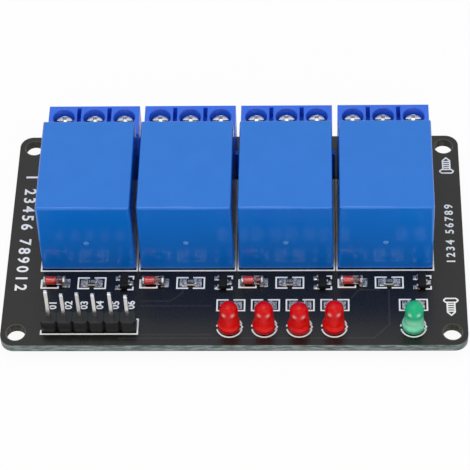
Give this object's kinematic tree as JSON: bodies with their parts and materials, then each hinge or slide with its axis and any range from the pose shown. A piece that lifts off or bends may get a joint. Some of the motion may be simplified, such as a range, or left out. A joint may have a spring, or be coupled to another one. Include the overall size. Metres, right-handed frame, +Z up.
{
  "type": "relay module board",
  "caption": "Relay module circuit board: blue relays in a row, screw terminals behind them, a pin header and indicator LEDs along the front edge.",
  "frame": {"origin": "centre of the four mounting holes, in the plane of the board's underside where standoffs seat", "axes": "+X along the row of relays, +Y towards the screw terminals, +Z up from the component side"},
  "size_m": [0.075, 0.0446, 0.0189],
  "materials": {
    "solder_mask": "satin black solder mask over glass-epoxy board",
    "relay_blue": "fine satin moulded case",
    "relay_base": "moulded base plate",
    "tinned_pin": "tinned copper alloy",
    "terminal_blue": "semi-gloss moulded nylon",
    "screw_steel": "bright zinc-plated steel",
    "cage_steel": "zinc-plated bent steel",
    "tinned_brass": "tinned brass",
    "header_black": "matt black nylon",
    "header_pin": "tinned square pin",
    "red_lens": "clear-tinted red epoxy",
    "green_lens": "tinted green epoxy",
    "led_lead": "tinned steel",
    "diode_glass": "tinted glass",
    "end_cap": "tinned end cap",
    "smd_lead": "tinned lead",
    "smd_body": "matt moulding compound",
    "chip_body": "glazed resistor on white ceramic",
    "solder": "bright solder"
  },
  "bodies": {
    "board": {"pcb": "solder_mask", "relay_case_1": "relay_blue", "relay_case_2": "relay_blue", "relay_case_3": "relay_blue", "relay_case_4": "relay_blue", "relay_base_1": "relay_base", "relay_base_2": "relay_base", "relay_base_3": "relay_base", "relay_base_4": "relay_base", "relay_pins": "tinned_pin", "terminal_housing_1": "terminal_blue", "terminal_housing_2": "terminal_blue", "terminal_housing_3": "terminal_blue", "terminal_housing_4": "terminal_blue", "terminal_contacts": "tinned_brass", "header_strip": "header_black", "header_pins": "header_pin", "channel_led_1": "red_lens", "channel_led_2": "red_lens", "channel_led_3": "red_lens", "channel_led_4": "red_lens", "power_led": "green_lens", "led_leads": "led_lead", "flyback_diode_1": "diode_glass", "flyback_diode_2": "diode_glass", "flyback_diode_3": "diode_glass", "flyback_diode_4": "diode_glass", "diode_caps": "end_cap", "transistor_1": "smd_body", "transistor_2": "smd_body", "transistor_3": "smd_body", "transistor_4": "smd_body", "transistor_leads": "smd_lead", "chip_resistors": "chip_body", "resistor_caps": "end_cap", "solder_joints": "solder"},
    "screw_1": {"terminal_screw_1": "screw_steel"},
    "cage_1": {"terminal_cage_1": "cage_steel"},
    "screw_2": {"terminal_screw_2": "screw_steel"},
    "cage_2": {"terminal_cage_2": "cage_steel"},
    "screw_3": {"terminal_screw_3": "screw_steel"},
    "cage_3": {"terminal_cage_3": "cage_steel"},
    "screw_4": {"terminal_screw_4": "screw_steel"},
    "cage_4": {"terminal_cage_4": "cage_steel"},
    "screw_5": {"terminal_screw_5": "screw_steel"},
    "cage_5": {"terminal_cage_5": "cage_steel"},
    "screw_6": {"terminal_screw_6": "screw_steel"},
    "cage_6": {"terminal_cage_6": "cage_steel"},
    "screw_7": {"terminal_screw_7": "screw_steel"},
    "cage_7": {"terminal_cage_7": "cage_steel"},
    "screw_8": {"terminal_screw_8": "screw_steel"},
    "cage_8": {"terminal_cage_8": "cage_steel"},
    "screw_9": {"terminal_screw_9": "screw_steel"},
    "cage_9": {"terminal_cage_9": "cage_steel"},
    "screw_10": {"terminal_screw_10": "screw_steel"},
    "cage_10": {"terminal_cage_10": "cage_steel"},
    "screw_11": {"terminal_screw_11": "screw_steel"},
    "cage_11": {"terminal_cage_11": "cage_steel"},
    "screw_12": {"terminal_screw_12": "screw_steel"},
    "cage_12": {"terminal_cage_12": "cage_steel"}
  },
  "joints": [
    {"name": "screw_1_turn", "type": "hinge", "parent": "board", "child": "screw_1", "pos_m": [-0.029, 0.01815, 0.0097], "axis": [0, 0, 1], "continuous": true},
    {"name": "cage_1_rise", "type": "slide", "parent": "board", "child": "cage_1", "axis": [0, 0, 1], "range_m": [0, 0.0018]},
    {"name": "screw_2_turn", "type": "hinge", "parent": "board", "child": "screw_2", "pos_m": [-0.02392, 0.01815, 0.0097], "axis": [0, 0, 1], "continuous": true},
    {"name": "cage_2_rise", "type": "slide", "parent": "board", "child": "cage_2", "axis": [0, 0, 1], "range_m": [0, 0.0018]},
    {"name": "screw_3_turn", "type": "hinge", "parent": "board", "child": "screw_3", "pos_m": [-0.01885, 0.01815, 0.0097], "axis": [0, 0, 1], "continuous": true},
    {"name": "cage_3_rise", "type": "slide", "parent": "board", "child": "cage_3", "axis": [0, 0, 1], "range_m": [0, 0.0018]},
    {"name": "screw_4_turn", "type": "hinge", "parent": "board", "child": "screw_4", "pos_m": [-0.01286, 0.01815, 0.0097], "axis": [0, 0, 1], "continuous": true},
    {"name": "cage_4_rise", "type": "slide", "parent": "board", "child": "cage_4", "axis": [0, 0, 1], "range_m": [0, 0.0018]},
    {"name": "screw_5_turn", "type": "hinge", "parent": "board", "child": "screw_5", "pos_m": [-0.00777, 0.01815, 0.0097], "axis": [0, 0, 1], "continuous": true},
    {"name": "cage_5_rise", "type": "slide", "parent": "board", "child": "cage_5", "axis": [0, 0, 1], "range_m": [0, 0.0018]},
    {"name": "screw_6_turn", "type": "hinge", "parent": "board", "child": "screw_6", "pos_m": [-0.00269, 0.01815, 0.0097], "axis": [0, 0, 1], "continuous": true},
    {"name": "cage_6_rise", "type": "slide", "parent": "board", "child": "cage_6", "axis": [0, 0, 1], "range_m": [0, 0.0018]},
    {"name": "screw_7_turn", "type": "hinge", "parent": "board", "child": "screw_7", "pos_m": [0.0033, 0.01815, 0.0097], "axis": [0, 0, 1], "continuous": true},
    {"name": "cage_7_rise", "type": "slide", "parent": "board", "child": "cage_7", "axis": [0, 0, 1], "range_m": [0, 0.0018]},
    {"name": "screw_8_turn", "type": "hinge", "parent": "board", "child": "screw_8", "pos_m": [0.00838, 0.01815, 0.0097], "axis": [0, 0, 1], "continuous": true},
    {"name": "cage_8_rise", "type": "slide", "parent": "board", "child": "cage_8", "axis": [0, 0, 1], "range_m": [0, 0.0018]},
    {"name": "screw_9_turn", "type": "hinge", "parent": "board", "child": "screw_9", "pos_m": [0.01345, 0.01815, 0.0097], "axis": [0, 0, 1], "continuous": true},
    {"name": "cage_9_rise", "type": "slide", "parent": "board", "child": "cage_9", "axis": [0, 0, 1], "range_m": [0, 0.0018]},
    {"name": "screw_10_turn", "type": "hinge", "parent": "board", "child": "screw_10", "pos_m": [0.01945, 0.01815, 0.0097], "axis": [0, 0, 1], "continuous": true},
    {"name": "cage_10_rise", "type": "slide", "parent": "board", "child": "cage_10", "axis": [0, 0, 1], "range_m": [0, 0.0018]},
    {"name": "screw_11_turn", "type": "hinge", "parent": "board", "child": "screw_11", "pos_m": [0.02453, 0.01815, 0.0097], "axis": [0, 0, 1], "continuous": true},
    {"name": "cage_11_rise", "type": "slide", "parent": "board", "child": "cage_11", "axis": [0, 0, 1], "range_m": [0, 0.0018]},
    {"name": "screw_12_turn", "type": "hinge", "parent": "board", "child": "screw_12", "pos_m": [0.0296, 0.01815, 0.0097], "axis": [0, 0, 1], "continuous": true},
    {"name": "cage_12_rise", "type": "slide", "parent": "board", "child": "cage_12", "axis": [0, 0, 1], "range_m": [0, 0.0018]}
  ],
  "couplings": [
    {"joint": "screw_1_turn", "follows": "cage_1_rise", "rad_per_m": -13963},
    {"joint": "screw_2_turn", "follows": "cage_2_rise", "rad_per_m": -13963},
    {"joint": "screw_3_turn", "follows": "cage_3_rise", "rad_per_m": -13963},
    {"joint": "screw_4_turn", "follows": "cage_4_rise", "rad_per_m": -13963},
    {"joint": "screw_5_turn", "follows": "cage_5_rise", "rad_per_m": -13963},
    {"joint": "screw_6_turn", "follows": "cage_6_rise", "rad_per_m": -13963},
    {"joint": "screw_7_turn", "follows": "cage_7_rise", "rad_per_m": -13963},
    {"joint": "screw_8_turn", "follows": "cage_8_rise", "rad_per_m": -13963},
    {"joint": "screw_9_turn", "follows": "cage_9_rise", "rad_per_m": -13963},
    {"joint": "screw_10_turn", "follows": "cage_10_rise", "rad_per_m": -13963},
    {"joint": "screw_11_turn", "follows": "cage_11_rise", "rad_per_m": -13963},
    {"joint": "screw_12_turn", "follows": "cage_12_rise", "rad_per_m": -13963}
  ]
}
